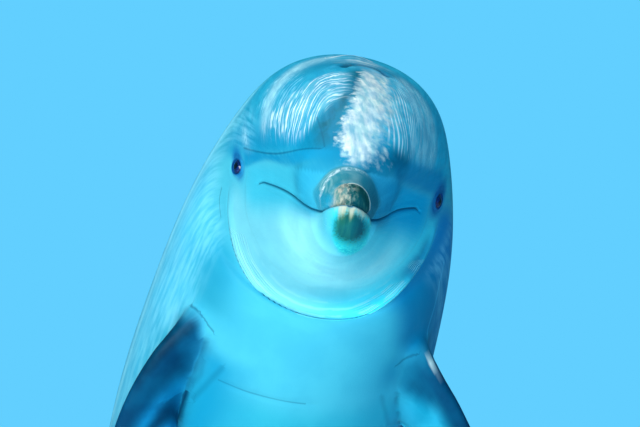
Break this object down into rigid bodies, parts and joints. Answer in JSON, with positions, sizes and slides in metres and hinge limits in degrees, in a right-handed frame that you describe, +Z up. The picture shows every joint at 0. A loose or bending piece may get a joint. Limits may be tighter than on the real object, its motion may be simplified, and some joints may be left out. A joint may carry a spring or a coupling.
{
  "type": "bottlenose dolphin display model",
  "caption": "Life-size bottlenose dolphin rearing with its head bowed level, held above a flat base by two upright rods.",
  "frame": {"origin": "middle of the underside of the stand's base", "axes": "+Z up, -Y the way the snout points, +X the animal's left side, +Y along the length towards the tail"},
  "size_m": [0.844, 2.3617, 1.2669],
  "materials": {
    "skin_dark": "wet, smooth skin",
    "skin_pale": "wet, smooth skin",
    "eye": "polished",
    "stand_plate": "satin paint",
    "stand_steel": "brushed"
  },
  "bodies": {
    "root": {"head": "skin_dark", "lower_jaw": "skin_pale", "eye_left": "eye", "eye_right": "eye", "neck": "skin_dark", "chest": "skin_dark", "loins": "skin_dark", "tail_stock": "skin_dark", "dorsal_fin": "skin_dark", "flipper_left": "skin_dark", "flipper_right": "skin_dark", "fluke_left": "skin_dark", "fluke_right": "skin_dark", "stand_base": "stand_plate", "stand_rod_front": "stand_steel", "stand_rod_rear": "stand_steel"}
  },
  "joints": []
}
